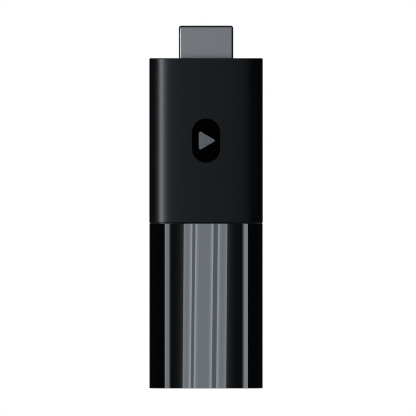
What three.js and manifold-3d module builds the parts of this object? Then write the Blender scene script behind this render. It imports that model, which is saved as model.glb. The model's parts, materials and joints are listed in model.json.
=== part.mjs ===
// Streaming media stick: a flat pocket-sized player with a video plug on its top end and a small power
// socket low on its right side. The upper half of the casing is a matt pair of covers that clip together,
// and the lower half is a polished one-piece cap that slides over the covers' spigot.
//
// Millimetres, +Z up. The stick stands on its lower end with the plug up, its front faces -Y, and the
// origin is the middle of the lower end face. The circuit board stands in the XZ plane, at y = 0.

import * as THREE from "three";
import { mergeVertices } from "three/addons/utils/BufferGeometryUtils.js";
import Module from "manifold-3d";

const wasm = await Module();
wasm.setup();

// ---------------------------------------------------------------- driving dimensions

const BODY = {
  width: 28.9,
  depth: 15.2,
  height: 84.1,
  sideRadius: 7.0, // the round long edges; the front and rear crowns follow from it
  wall: 1.3,
  endWall: 1.6,
  edge: 0.35, // chamfer round both end faces
};
const CAP = { top: 42.0, floor: 1.5 }; // the polished half
const SPIGOT = { length: 5.0, wall: 1.0, collar: 2.0 }; // the covers' neck inside the cap
const SEAM = 0.15; // open line between the cap and the covers
const SPLIT = 0.05; // half the open line between the two covers
const FIT = 0.1; // clearance between moulded pieces
const SEAT = 0.05; // clearance under a piece that is soldered or stuck down

const PLUG = {
  width: 13.9,
  height: 4.45,
  exposed: 8.3,
  wall: 0.35,
  corner: 0.55,
  narrowWidth: 10.9, // the rear face, which has slanted corners
  shoulder: 0.45, // where the slant starts, from the plug's middle
  rear: 78.3,
};
const SLOT = { halfWidth: 5.75, halfHeight: 1.05, y: -0.15, deep: 8.0 }; // takes the mating tongue
const CONTACT = { pitch: 1.0, width: 0.42, thickness: 0.2, frontCount: 10, rearCount: 9 };

const BOARD = { halfWidth: 11.6, thickness: 1.0, bottom: 2.9, top: 77.3, corner: 1.2 };
const SCREW = { x: 9.2, z: 70.0, shank: 0.8, head: 1.5, headHeight: 0.7, length: 4.4, recess: 0.35 };
const SOCKET = {
  z: 13.0,
  width: 7.5,
  height: 2.6,
  depth: 5.1,
  front: 12.75,
  wall: 0.25,
  corner: 0.3,
  bevel: 0.9,
};
const MOUTH = { width: 8.4, height: 3.1, corner: 1.0 }; // the opening in the cap round the socket
const MARK = { width: 7.1, height: 11.2, triangle: 6.0, recess: 0.7, inlay: 0.4 };
const LAMP = { x: -6.0, y: -0.9, radius: 0.75, flange: 1.3 };

const BODY_TOP = BODY.height;
const PLUG_TOP = BODY.height + PLUG.exposed;
const COVER_BOTTOM = CAP.top + SEAM;
const SPIGOT_BOTTOM = CAP.top - SPIGOT.length;
const FACE = BOARD.thickness / 2; // the board's faces lie at y = -FACE and y = FACE
const SOCKET_Y = FACE + SEAT + SOCKET.height / 2;
const FAR = 100; // past the object in every direction

// ---------------------------------------------------------------- materials

const finish = (color, roughness, metalness) =>
  new THREE.MeshStandardMaterial({ color, roughness, metalness });
const MATERIAL = {
  mattBlack: finish(0x1e1f22, 0.55, 0),
  glossBlack: finish(0x08090b, 0.08, 0),
  markBlack: finish(0x020203, 0.15, 0),
  markGrey: finish(0x62656a, 0.45, 0),
  plugSteel: finish(0x74787d, 0.3, 1),
  tinned: finish(0xb4b6b8, 0.35, 1),
  insulator: finish(0x101113, 0.6, 0),
  gold: finish(0xc9a24a, 0.3, 1),
  board: finish(0x0c3a26, 0.5, 0),
  chip: finish(0x18191b, 0.6, 0),
  ferrite: finish(0x3b3b3d, 0.8, 0),
  ceramic: finish(0x8f7350, 0.5, 0),
  thermalPad: finish(0x7e93a8, 0.9, 0),
  aluminium: finish(0xa8abae, 0.4, 1),
  foam: finish(0x222326, 1.0, 0),
  lens: finish(0xe8ecee, 0.1, 0),
  led: finish(0xf0eecb, 0.4, 0),
};

// ---------------------------------------------------------------- solids

// A closed three.js geometry as a solid that can be joined and cut.
function solid(geometry) {
  const bare = geometry.clone();
  bare.deleteAttribute("normal");
  bare.deleteAttribute("uv");
  const merged = mergeVertices(bare, 1e-4);
  return new wasm.Manifold(
    new wasm.Mesh({
      numProp: 3,
      vertProperties: new Float32Array(merged.attributes.position.array),
      triVerts: new Uint32Array(merged.index.array),
    }),
  );
}

// A solid back as a geometry for a three.js mesh.
function geometryOf(made) {
  const { vertProperties, triVerts } = made.getMesh();
  return new THREE.BufferGeometry()
    .setAttribute("position", new THREE.BufferAttribute(new Float32Array(vertProperties), 3))
    .setIndex(new THREE.BufferAttribute(new Uint32Array(triVerts), 1));
}

// A span on one side of the middle, in rising order: `side` is -1 or 1.
const mirrored = (side, near, far) => [side * near, side * far].sort((p, q) => p - q);
const around = (middle, width) => [middle - width / 2, middle + width / 2];
const everywhere = [-FAR, FAR];

// A box between two corners.
function box([x0, x1], [y0, y1], [z0, z1]) {
  const geometry = new THREE.BoxGeometry(x1 - x0, y1 - y0, z1 - z0);
  return solid(geometry.translate((x0 + x1) / 2, (y0 + y1) / 2, (z0 + z1) / 2));
}

// A round bar along Z or Y, from `from` to `to`. `at` is its place on the other two axes.
function bar(axis, radius, at, [from, to], sides = 20) {
  const geometry = new THREE.CylinderGeometry(radius, radius, to - from, sides);
  const middle = (from + to) / 2;
  if (axis === "y") return solid(geometry.translate(at[0], middle, at[1]));
  return solid(geometry.rotateX(Math.PI / 2).translate(at[0], at[1], middle));
}

// A shape drawn in XY and extruded along Z.
function prismZ(shape, [z0, z1]) {
  const geometry = new THREE.ExtrudeGeometry(shape, { depth: z1 - z0, bevelEnabled: false });
  return solid(geometry.translate(0, 0, z0));
}

// A shape drawn in XZ and extruded along Y.
function prismY(shape, [y0, y1]) {
  const geometry = new THREE.ExtrudeGeometry(shape, { depth: y1 - y0, bevelEnabled: false });
  return solid(geometry.rotateX(Math.PI / 2).translate(0, y1, 0));
}

// A shape drawn in YZ and extruded along X.
function prismX(shape, [x0, x1]) {
  const geometry = new THREE.ExtrudeGeometry(shape, { depth: x1 - x0, bevelEnabled: false });
  return solid(geometry.rotateX(Math.PI / 2).rotateZ(Math.PI / 2).translate(x0, 0, 0));
}

const shapeOf = (points) => new THREE.Shape(points.map(([u, v]) => new THREE.Vector2(u, v)));

// Points along an arc, angles in radians, both ends included.
function arc(cx, cy, radius, from, to, steps) {
  return Array.from({ length: steps + 1 }, (_, i) => {
    const angle = from + ((to - from) * i) / steps;
    return new THREE.Vector2(cx + radius * Math.cos(angle), cy + radius * Math.sin(angle));
  });
}

// A polygon with each corner rounded to `radius`.
function roundedPolygon(corners, radius, steps = 3) {
  const points = [];
  corners.forEach(([x, y], i) => {
    const here = new THREE.Vector2(x, y);
    const before = new THREE.Vector2(...corners.at(i - 1)).sub(here).normalize();
    const after = new THREE.Vector2(...corners[(i + 1) % corners.length]).sub(here).normalize();
    const half = Math.acos(before.dot(after)) / 2;
    const centre = here
      .clone()
      .add(before.clone().add(after).normalize().multiplyScalar(radius / Math.sin(half)));
    const start = here.clone().addScaledVector(before, radius / Math.tan(half)).sub(centre);
    const end = here.clone().addScaledVector(after, radius / Math.tan(half)).sub(centre);
    const turn = Math.atan2(start.cross(end), start.dot(end));
    points.push(...arc(centre.x, centre.y, radius, start.angle(), start.angle() + turn, steps));
  });
  return new THREE.Shape(points);
}

// A rounded rectangle about a middle point.
function rectangle([u, v], [width, height], radius, steps) {
  const [u0, u1] = around(u, width);
  const [v0, v1] = around(v, height);
  return roundedPolygon([[u0, v0], [u1, v0], [u1, v1], [u0, v1]], radius, steps);
}

// ---------------------------------------------------------------- outlines

// The casing's outline, moved in by `inset`: two shallow crowns and two round sides, all tangent.
function bodyOutline(inset) {
  const a = BODY.width / 2;
  const b = BODY.depth / 2;
  const r = BODY.sideRadius;
  const crown = (a * a + b * b - 2 * a * r) / (2 * (b - r));
  const phi = Math.asin((a - r) / (crown - r));
  const side = Math.PI / 2 - phi;
  const [sideSteps, crownSteps] = [18, 6];
  return new THREE.Shape([
    ...arc(a - r, 0, r - inset, -side, side, sideSteps),
    ...arc(0, b - crown, crown - inset, side, side + 2 * phi, crownSteps).slice(1, -1),
    ...arc(r - a, 0, r - inset, Math.PI - side, Math.PI + side, sideSteps),
    ...arc(0, crown - b, crown - inset, Math.PI + side, Math.PI + side + 2 * phi, crownSteps).slice(1, -1),
  ]);
}

const bodyPrism = (inset, span) => prismZ(bodyOutline(inset), span);

// A tube that follows the casing's outline.
const bodyTube = (outer, inner, span) => bodyPrism(outer, span).subtract(bodyPrism(inner, everywhere));

// The whole casing as one block, with both ends chamfered.
function bodyBlock() {
  const geometry = new THREE.ExtrudeGeometry(bodyOutline(0), {
    depth: BODY.height - 2 * BODY.edge,
    bevelThickness: BODY.edge,
    bevelSize: BODY.edge,
    bevelOffset: -BODY.edge,
    bevelSegments: 1,
  });
  return solid(geometry.translate(0, 0, BODY.edge));
}

const SLANT_INSET = 0.6; // how far a slanted corner's end moves for each unit of inset

// The video plug's outline, moved in by `inset` (or out, if it is negative): the wide face is at -Y.
function plugOutline(inset) {
  const wide = PLUG.width / 2 - inset;
  const narrow = PLUG.narrowWidth / 2 - inset * SLANT_INSET;
  const y = PLUG.height / 2 - inset;
  const lower = [[-wide, -y], [wide, -y], [wide, PLUG.shoulder]];
  const upper = [[narrow, y], [-narrow, y], [-wide, PLUG.shoulder]];
  return roundedPolygon([...lower, ...upper], Math.max(PLUG.corner - inset, 0.15));
}

// The power socket's outline in YZ, moved in by `inset`. Its bevelled face is away from the board.
function socketOutline(inset) {
  const z = SOCKET.width / 2 - inset;
  const y = SOCKET.height / 2 - inset;
  const bevel = SOCKET.bevel - inset * SLANT_INSET;
  const lower = [[-y, -z], [y - bevel, -z], [y, bevel - z]];
  const upper = [[y, z - bevel], [y - bevel, z], [-y, z]];
  const placed = [...lower, ...upper].map(([u, v]) => [u + SOCKET_Y, v + SOCKET.z]);
  return roundedPolygon(placed, Math.max(SOCKET.corner - inset, 0.1));
}

// ---------------------------------------------------------------- the assembly

const stick = new THREE.Group();

// Puts a solid into the assembly as one named mesh.
function place(name, shape, material, parent = stick) {
  const mesh = new THREE.Mesh(geometryOf(shape), material);
  mesh.name = name;
  mesh.geometry.computeVertexNormals();
  parent.add(mesh);
}

// ---------------------------------------------------------------- casing

const SNAP = { halfWidth: 4.0, z: [38.2, 39.4], rise: 0.4, deep: 0.5, room: 0.3 };
const GUIDE = { tip: 10.9, low: 0.6, high: 1.5, sunk: 0.5, clear: 1.2 }; // ribs at the board's edges
const CLIP = { z: [54, 66], width: 4.0, inner: 11.95, outer: 12.45, root: 13.75 };
const HOOK = { reach: 2.7, height: 0.8, rise: 0.45, room: 0.2 }; // at the tip of each clip
const CLIP_ROOT_Y = [-1.5, -0.4];
const LIP = { outer: 0.75, inner: 1.3, y: [-0.6, 0.75] }; // insets and reach of the front cover's lip
const POST = { x: 10.4, z: [48, 63], radius: 0.8 };
const BOSS = { radius: 1.9, pilot: 0.86, deep: 4.4 };
const SHELL_SUNK = 0.5; // how far a rib, post or boss runs into the wall that carries it

// The polished lower half: a deep cup with guides for the board's edges.
function polishedCap() {
  let cap = bodyBlock()
    .intersect(box(everywhere, everywhere, [-1, CAP.top]))
    .subtract(bodyPrism(BODY.wall, [CAP.floor, CAP.top + 1]));
  const full = SPIGOT_BOTTOM - GUIDE.sunk;
  const underSocket = SOCKET.z - SOCKET.width / 2 - GUIDE.clear;
  for (const sideX of [-1, 1]) {
    for (const sideY of [-1, 1]) {
      const top = sideX > 0 && sideY > 0 ? underSocket : full;
      const x = mirrored(sideX, GUIDE.tip, BODY.width / 2 - SHELL_SUNK);
      cap = cap.add(box(x, mirrored(sideY, GUIDE.low, GUIDE.high), [CAP.floor - FIT, top]));
    }
  }
  cap = cap.subtract(socketChannel()).subtract(socketMouth());
  // Pockets for the spigot's snap ridges, and the hole for the indicator lens.
  const innerY = BODY.depth / 2 - BODY.wall;
  for (const side of [-1, 1]) {
    const x = around(0, 2 * (SNAP.halfWidth + SNAP.room));
    const y = mirrored(side, innerY - SNAP.room, innerY + SNAP.deep);
    cap = cap.subtract(box(x, y, [SNAP.z[0] - SNAP.room, SNAP.z[1] + SNAP.room]));
  }
  return cap.subtract(bar("z", LAMP.radius + FIT, [LAMP.x, LAMP.y], [-1, CAP.floor + 1], 16));
}

// The channel down the inside of the right wall, through which the socket's rim slides in.
function socketChannel() {
  const [rim, room] = [2.6, 0.25];
  const x = [SOCKET.front - rim, SOCKET.front + FIT];
  const z = [SOCKET.z - SOCKET.width / 2 - room, SPIGOT_BOTTOM - GUIDE.sunk];
  return box(x, around(SOCKET_Y, SOCKET.height + 2 * room), z);
}

function socketMouth() {
  const shape = rectangle([SOCKET_Y, SOCKET.z], [MOUTH.height, MOUTH.width], MOUTH.corner);
  return prismX(shape, [SOCKET.front - 1.5, BODY.width]);
}

// Both matt covers as one closed sleeve, with the collar and spigot that the cap slides over.
function coverSleeve() {
  const neck = BODY.wall + FIT;
  const bore = neck + SPIGOT.wall;
  const collarTop = COVER_BOTTOM + SPIGOT.collar;
  let sleeve = bodyBlock()
    .intersect(box(everywhere, everywhere, [COVER_BOTTOM, FAR]))
    .subtract(bodyPrism(BODY.wall, [collarTop, BODY_TOP - BODY.endWall]))
    .subtract(bodyPrism(bore, [COVER_BOTTOM - 1, collarTop + 1]))
    .add(bodyTube(neck, bore, [SPIGOT_BOTTOM, COVER_BOTTOM + SHELL_SUNK]));
  const neckY = BODY.depth / 2 - neck;
  for (const side of [-1, 1]) {
    const y = mirrored(side, neckY - SHELL_SUNK, neckY + SNAP.rise);
    sleeve = sleeve.add(box([-SNAP.halfWidth, SNAP.halfWidth], y, SNAP.z));
  }
  return sleeve.subtract(prismZ(plugOutline(-0.15), [BODY_TOP - BODY.endWall - 1, FAR]));
}

const sleeve = coverSleeve();
const lipSpan = [COVER_BOTTOM + SPIGOT.collar + FIT, BODY_TOP - BODY.endWall - FIT];

function frontCover() {
  const lip = bodyTube(LIP.outer, LIP.inner, lipSpan).intersect(box(everywhere, LIP.y, everywhere));
  let cover = sleeve.intersect(box(everywhere, [-FAR, -SPLIT], everywhere)).add(lip);
  for (const side of [-1, 1]) {
    for (const middle of CLIP.z) {
      const z = around(middle, CLIP.width);
      const hookY = [HOOK.reach - HOOK.height, HOOK.reach];
      cover = cover
        .add(box(mirrored(side, CLIP.inner, CLIP.outer), [CLIP_ROOT_Y[0], HOOK.reach], z))
        .add(box(mirrored(side, CLIP.inner, CLIP.root), CLIP_ROOT_Y, z))
        .add(box(mirrored(side, CLIP.inner, CLIP.outer + HOOK.rise), hookY, z));
    }
    // Posts that hold the board down.
    for (const z of POST.z) {
      const post = bar("y", POST.radius, [POST.x * side, z], [-BODY.depth, -FACE - FIT], 12);
      cover = cover.add(post.intersect(bodyPrism(SHELL_SUNK, [0, BODY_TOP])));
    }
  }
  return cover.subtract(prismY(markOutline(-SEAT), [-BODY.depth, MARK_FACE + MARK.recess]));
}

function rearCover() {
  const z = [lipSpan[0] - FIT, lipSpan[1] + FIT];
  const rebate = bodyTube(LIP.outer - FIT, LIP.inner + FIT, z);
  let cover = sleeve
    .intersect(box(everywhere, [SPLIT, FAR], everywhere))
    .subtract(rebate.intersect(box(everywhere, [0, LIP.y[1] + FIT], everywhere)));
  for (const side of [-1, 1]) {
    // Pockets for the front cover's hooks.
    for (const middle of CLIP.z) {
      const x = mirrored(side, CLIP.inner, CLIP.outer + HOOK.rise + FIT);
      const y = [HOOK.reach - HOOK.height - FIT, HOOK.reach + HOOK.room];
      cover = cover.subtract(box(x, y, around(middle, CLIP.width + 2 * HOOK.room)));
    }
    // A boss for one of the board's two screws.
    const at = [SCREW.x * side, SCREW.z];
    const boss = bar("y", BOSS.radius, at, [FACE + SEAT, BODY.depth])
      .intersect(bodyPrism(SHELL_SUNK, [0, BODY_TOP]))
      .subtract(bar("y", BOSS.pilot, at, [0, FACE + BOSS.deep], 14));
    cover = cover.add(boss);
  }
  return cover;
}

// ---------------------------------------------------------------- front mark

const MARK_Z = (COVER_BOTTOM + BODY_TOP) / 2;
const MARK_FACE = -BODY.depth / 2;

// A pill-shaped plate, drawn in XZ and moved in by `inset`.
function markOutline(inset) {
  const radius = MARK.width / 2 - inset;
  const rise = (MARK.height - MARK.width) / 2;
  return new THREE.Shape([
    ...arc(0, MARK_Z + rise, radius, 0, Math.PI, 14),
    ...arc(0, MARK_Z - rise, radius, Math.PI, 2 * Math.PI, 14),
  ]);
}

// A plain play triangle, drawn in XZ, with its box in the middle of the plate.
function triangleOutline(grow) {
  const radius = MARK.triangle / 2 + grow;
  const corners = [0, 1, 2].map((i) => {
    const angle = (i * 2 * Math.PI) / 3;
    return [radius * Math.cos(angle) - MARK.triangle / 16, MARK_Z + radius * Math.sin(angle)];
  });
  return roundedPolygon(corners, 0.4);
}

// The plate and its inlaid triangle, both flush with the front cover's crown.
function frontMark() {
  const skin = bodyPrism(0.02, [0, BODY_TOP]);
  const inlayBack = MARK_FACE + MARK.inlay;
  const plate = prismY(markOutline(0), [-BODY.depth, MARK_FACE + MARK.recess - SEAT])
    .intersect(skin)
    .subtract(prismY(triangleOutline(SEAT), [-BODY.depth, inlayBack]));
  const triangle = prismY(triangleOutline(0), [-BODY.depth, inlayBack - SEAT]).intersect(skin);
  place("mark_plate", plate, MATERIAL.markBlack);
  place("mark_triangle", triangle, MATERIAL.markGrey);
}

// ---------------------------------------------------------------- video plug

const EAR = { inner: 6.6, y: [-1.5, 0.35], end: 73.6 }; // the tabs that stand in the board's slots
const WINDOW = { x: 3.1, width: 1.9, z: [87.6, 89.0] }; // where the mating socket's springs drop in
const INSULATOR = { back: PLUG.rear - 0.4, front: PLUG_TOP - 0.45 };
const WEB = { z: [80.0, 80.8], thickness: 0.3, pocket: 0.45 }; // joins a row of contacts
const BLADE = { tip: 90.4, crest: 87.6, root: 84.5, bend: 77.9, board: 77.4, tail: 75.0, bow: 0.22 };
const CONTACT_ROWS = [
  { name: "front", side: -1, count: CONTACT.frontCount },
  { name: "rear", side: 1, count: CONTACT.rearCount },
];

// The folded steel shell, with its two ears.
function plugShell() {
  let shell = prismZ(plugOutline(0), [PLUG.rear, PLUG_TOP]).subtract(
    prismZ(plugOutline(PLUG.wall), everywhere),
  );
  for (const side of [-1, 1]) {
    shell = shell
      .add(box(mirrored(side, EAR.inner, PLUG.width / 2), EAR.y, [EAR.end, PLUG.rear + 1]))
      .subtract(box(around(WINDOW.x * side, WINDOW.width), [PLUG.height / 4, PLUG.height], WINDOW.z));
  }
  return shell;
}

// One contact: a strip in its groove that bows into the slot, with a tail down on the board's face.
function contactBlade(x, wallY, side) {
  const strip = side * CONTACT.thickness;
  const back = wallY + strip; // the strip's face against the groove
  const board = side * (FACE + SEAT);
  const outline = shapeOf([
    [back, BLADE.tip],
    [back, BLADE.bend],
    [board + strip, BLADE.board],
    [board + strip, BLADE.tail],
    [board, BLADE.tail],
    [board, BLADE.board + FIT],
    [wallY, BLADE.bend + 0.3],
    [wallY, BLADE.root],
    [wallY - side * BLADE.bow, BLADE.crest],
    [wallY, BLADE.tip],
  ]);
  return prismX(outline, around(x, CONTACT.width));
}

// One row of contacts on a hidden web, and the grooves and pocket that it needs in the insulator.
function contactRow({ side, count }) {
  const wallY = SLOT.y + side * SLOT.halfHeight;
  const inward = (from, to) => [wallY + side * from, wallY + side * to].sort((p, q) => p - q);
  const reach = (count - 1) * CONTACT.pitch;
  const grooveZ = [INSULATOR.back - 1, INSULATOR.front - 0.6];
  let comb = box(around(0, reach + CONTACT.width), inward(0, WEB.thickness), WEB.z);
  let room = box(
    around(0, reach + CONTACT.width + 2 * FIT),
    inward(0, WEB.pocket),
    [WEB.z[0] - FIT, WEB.z[1] + FIT],
  );
  for (let i = 0; i < count; i++) {
    const x = i * CONTACT.pitch - reach / 2;
    comb = comb.add(contactBlade(x, wallY, side));
    const groove = inward(-0.3, CONTACT.thickness + SEAT);
    room = room.add(box(around(x, CONTACT.width + 2 * SEAT), groove, grooveZ));
  }
  return { comb, room };
}

function videoPlug() {
  const plug = new THREE.Group();
  stick.add(plug);
  place("video_plug_shell", plugShell(), MATERIAL.plugSteel, plug);

  // The insulator: a block with a slot for the mating tongue and a groove for each contact.
  const slot = [around(0, 2 * SLOT.halfWidth), around(SLOT.y, 2 * SLOT.halfHeight)];
  let block = prismZ(plugOutline(PLUG.wall + SEAT), [INSULATOR.back, INSULATOR.front]).subtract(
    box(...slot, everywhere),
  );
  for (const row of CONTACT_ROWS) {
    const { comb, room } = contactRow(row);
    block = block.subtract(room);
    place(`video_plug_contacts_${row.name}`, comb, MATERIAL.gold, plug);
  }
  place("video_plug_insulator", block, MATERIAL.insulator, plug);

  // The spacer that keeps the two rows apart behind the slot.
  const x = around(0, 2 * (SLOT.halfWidth - FIT));
  const y = around(SLOT.y, 2 * (SLOT.halfHeight - FIT));
  const spacer = box(x, y, [INSULATOR.back + 0.6, INSULATOR.front - SLOT.deep]);
  place("video_plug_spacer", spacer, MATERIAL.insulator, plug);
}

// ---------------------------------------------------------------- circuit board

function mainBoard() {
  const w = BOARD.halfWidth;
  const c = BOARD.corner;
  const [bottom, top] = [BOARD.bottom, BOARD.top];
  const right = [[w - c, bottom], [w, bottom + c], [w, top - c], [w - c, top]];
  const left = [[c - w, top], [-w, top - c], [-w, bottom + c], [c - w, bottom]];
  let board = prismY(shapeOf([...right, ...left]), [-FACE, FACE]);
  for (const side of [-1, 1]) {
    const hole = bar("y", SCREW.shank + 0.15, [SCREW.x * side, SCREW.z], everywhere, 16);
    const ear = mirrored(side, EAR.inner - 0.15, PLUG.width / 2 + 0.15);
    board = board.subtract(hole).subtract(box(ear, everywhere, [EAR.end - 0.2, FAR]));
  }
  place("main_board", board, MATERIAL.board);
}

// A span of heights over one face of the board: `side` is -1 for the front and 1 for the rear.
const above = (side, from, to) => mirrored(side, FACE + from, FACE + to);

// A flat block between two heights over the board's face.
function overBoard(name, side, at, size, [from, to], material, corner = 0.3) {
  place(name, prismY(rectangle(at, size, corner, 2), above(side, from, to)), material);
}

// A flat block soldered to the board.
function onBoard(name, side, at, [width, height, thickness], material, corner = 0.15) {
  overBoard(name, side, at, [width, height], [SEAT, SEAT + thickness], material, corner);
}

const SHIELD = { rise: 1.95, sheet: 0.25, flange: 0.9, skirt: 1.0, corner: 0.6 };

// The soldered fence of a shield, with an inward flange, and the lid that clips over it.
function shield(name, side, at, [width, height]) {
  const grown = (by) => rectangle(at, [width + 2 * by, height + 2 * by], SHIELD.corner, 2);
  const ring = (outer, inner, from, to) =>
    prismY(grown(outer), above(side, from, to)).subtract(prismY(grown(inner), everywhere));
  const { rise, sheet } = SHIELD;
  const fence = ring(0, -sheet, SEAT, rise).add(ring(0, -SHIELD.flange, rise - sheet, rise));
  place(`${name}_shield_frame`, fence, MATERIAL.tinned);

  const reach = FIT + sheet;
  const cover = prismY(grown(reach), above(side, rise + SEAT, rise + SEAT + sheet));
  const lid = cover.add(ring(reach, FIT, rise - SHIELD.skirt, rise + sheet));
  place(`${name}_shield_lid`, lid, MATERIAL.tinned);
}

const SPREADER = { half: 8.2, z: [31, 66], near: 2.95, far: 3.6, sheet: 0.65, turn: 0.5 };

// A bent aluminium plate over a shield, with its long edges turned towards the board.
function heatSpreader(name, side) {
  const { half, near, far, sheet, turn } = SPREADER;
  const [z0, z1] = SPREADER.z;
  const middle = [0, (z0 + z1) / 2];
  let plate = prismY(rectangle(middle, [2 * half, z1 - z0], 0.8), above(side, near, far));
  for (const edge of [-1, 1]) {
    const x = mirrored(edge, half - sheet, half);
    plate = plate.add(box(x, above(side, near - turn, far - FIT), [z0 + 2, z1 - 2]));
  }
  place(name, plate, MATERIAL.aluminium);
}

// The radio: a small board of its own with a can over it.
function radioModule() {
  const at = [-3.2, 24.2];
  onBoard("radio_module_board", -1, at, [12, 11.6, 0.8], MATERIAL.board, 0.3);
  const sheet = 0.2;
  const [width, height] = [10.8, 10.4];
  const outside = prismY(rectangle(at, [width, height], 0.6), above(-1, 0.9, 2.5));
  const inside = rectangle(at, [width - 2 * sheet, height - 2 * sheet], 0.4);
  const can = outside.subtract(prismY(inside, above(-1, 0, 2.5 - sheet)));
  place("radio_module_can", can, MATERIAL.tinned);
}

function electronics() {
  const [front, rear] = [-1, 1];

  // Processor and memory under the front shield.
  shield("front", front, [0, 47.5], [18, 27]);
  onBoard("processor_chip", front, [0, 53.2], [13, 13, 1.1], MATERIAL.chip);
  onBoard("memory_chip", front, [0, 40.0], [11, 8, 1.0], MATERIAL.chip);
  overBoard("processor_thermal_pad", front, [0, 53.2], [11, 11], [1.2, 1.95], MATERIAL.thermalPad);
  overBoard("front_spreader_pad", front, [0, 49], [14, 20], [2.3, 2.9], MATERIAL.thermalPad);
  heatSpreader("front_heat_spreader", front);

  // Storage under the rear shield.
  shield("rear", rear, [0, 46], [17, 23]);
  onBoard("storage_chip", rear, [0, 47], [11.5, 13, 1.0], MATERIAL.chip);
  overBoard("storage_thermal_pad", rear, [0, 47], [10, 11], [1.1, 1.95], MATERIAL.thermalPad);
  overBoard("rear_spreader_pad", rear, [0, 47], [13, 18], [2.3, 2.9], MATERIAL.thermalPad);
  heatSpreader("rear_heat_spreader", rear);

  // Radio, power supply, clock and line filters.
  radioModule();
  onBoard("power_chip", front, [-3.6, 12.6], [5, 5, 0.9], MATERIAL.chip);
  [[1.6, 12.6], [6.4, 12.6], [6.4, 17.6]].forEach((at, i) =>
    onBoard(`inductor_${i + 1}`, front, at, [4, 4, 1.9], MATERIAL.ferrite, 0.5),
  );
  [[-8.6, 11.4], [-8.6, 14.2], [1.4, 16.8], [8.6, 21.8]].forEach((at, i) =>
    onBoard(`bulk_capacitor_${i + 1}`, front, at, [3.2, 1.6, 1.4], MATERIAL.ceramic, 0.1),
  );
  onBoard("crystal_can", front, [6.6, 27.4], [3.2, 2.5, 0.8], MATERIAL.tinned, 0.4);
  [-4.5, -1.5, 1.5, 4.5].forEach((x, i) =>
    onBoard(`line_filter_${i + 1}`, front, [x, 71.6], [2.0, 1.2, 0.9], MATERIAL.ferrite, 0.1),
  );
}

const ANTENNA = { sheet: 0.3, rise: 3.2, leg: 1.0, feed: 2.6, turn: 1.1 };

// An antenna stamped from sheet: a raised strip on two legs, one at its end and one part-way along.
function antenna(name, side, [x0, x1], [z0, z1]) {
  const { sheet, rise } = ANTENNA;
  let strip = box([x0, x1], above(side, rise - sheet, rise), [z0, z1]);
  for (const x of [x0, x0 + ANTENNA.feed]) {
    strip = strip.add(box([x, x + ANTENNA.leg], above(side, SEAT, rise - FIT), [z0, z0 + sheet]));
  }
  const folded = box([x1 - sheet, x1], above(side, rise - sheet - ANTENNA.turn, rise - FIT), [z0, z1]);
  place(name, strip.add(folded), MATERIAL.tinned);
}

// ---------------------------------------------------------------- power socket

const TONGUE = { width: 3.7, thickness: 0.6, tip: SOCKET.front - 0.7 };
const PIN = { count: 5, pitch: 0.65, width: 0.32, thickness: 0.15, tail: 1.1, drop: 0.3 };
const FOOT = { x: [1.0, 2.6], reach: 0.9, sunk: 0.3 }; // solder feet, from the socket's back
const SOCKET_BACK = SOCKET.front - SOCKET.depth;

function socketShell() {
  let shell = prismX(socketOutline(0), [SOCKET_BACK, SOCKET.front]).subtract(
    prismX(socketOutline(SOCKET.wall), everywhere),
  );
  const x = FOOT.x.map((distance) => SOCKET_BACK + distance);
  for (const side of [-1, 1]) {
    const half = SOCKET.width / 2;
    const z = mirrored(side, half - FOOT.sunk, half + FOOT.reach).map((v) => v + SOCKET.z);
    shell = shell.add(box(x, above(1, SEAT, SEAT + SOCKET.wall), z));
  }
  return shell;
}

// One bent pin: along the tongue's board side, down behind the block, and out on the board.
function socketPin(z, [y0, y1]) {
  const board = FACE + SEAT;
  const tip = TONGUE.tip - 0.3;
  const outline = shapeOf([
    [tip, y1],
    [SOCKET_BACK - PIN.drop, y1],
    [SOCKET_BACK - PIN.drop, board + PIN.thickness],
    [SOCKET_BACK - PIN.tail, board + PIN.thickness],
    [SOCKET_BACK - PIN.tail, board],
    [SOCKET_BACK - PIN.drop + PIN.thickness, board],
    [SOCKET_BACK - PIN.drop + PIN.thickness, y0],
    [tip, y0],
  ]);
  return prismZ(outline, around(z, PIN.width));
}

function powerSocket() {
  const socket = new THREE.Group();
  stick.add(socket);
  place("power_socket_shell", socketShell(), MATERIAL.tinned, socket);

  // The insulator: a block at the back of the shell and the tongue that carries the pins.
  const pinY = [SOCKET_Y - SEAT - PIN.thickness, SOCKET_Y - SEAT];
  const tongueY = [SOCKET_Y, SOCKET_Y + TONGUE.thickness];
  const rear = [SOCKET_BACK + 0.2, SOCKET_BACK + 1.7];
  let block = prismX(socketOutline(SOCKET.wall + SEAT), rear).add(
    box([rear[1] - 0.2, TONGUE.tip], tongueY, around(SOCKET.z, TONGUE.width)),
  );
  for (let i = 0; i < PIN.count; i++) {
    const z = SOCKET.z + (i - (PIN.count - 1) / 2) * PIN.pitch;
    const groove = [pinY[0] - SEAT, pinY[1] + SEAT];
    const through = [SOCKET_BACK - 1, rear[1] + 0.1];
    block = block.subtract(box(through, groove, around(z, PIN.width + 2 * SEAT)));
    place(`power_contact_${i + 1}`, socketPin(z, pinY), MATERIAL.gold, socket);
  }
  place("power_socket_insulator", block, MATERIAL.insulator, socket);
}

// ---------------------------------------------------------------- small parts

// A pan-head screw with a cross recess, driven from the board's front into a boss.
function boardScrew(side) {
  const [x, z] = [SCREW.x * side, SCREW.z];
  const [top, under] = [-FACE - SEAT - SCREW.headHeight, -FACE - SEAT];
  const recessY = [top - 1, top + SCREW.recess];
  const [long, narrow] = [1.7, 0.28];
  return bar("y", SCREW.head, [x, z], [top, under])
    .add(bar("y", SCREW.shank, [x, z], [under - FIT, under + SCREW.length], 14))
    .subtract(box(around(x, long), recessY, around(z, narrow)))
    .subtract(box(around(x, narrow), recessY, around(z, long)));
}

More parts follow.
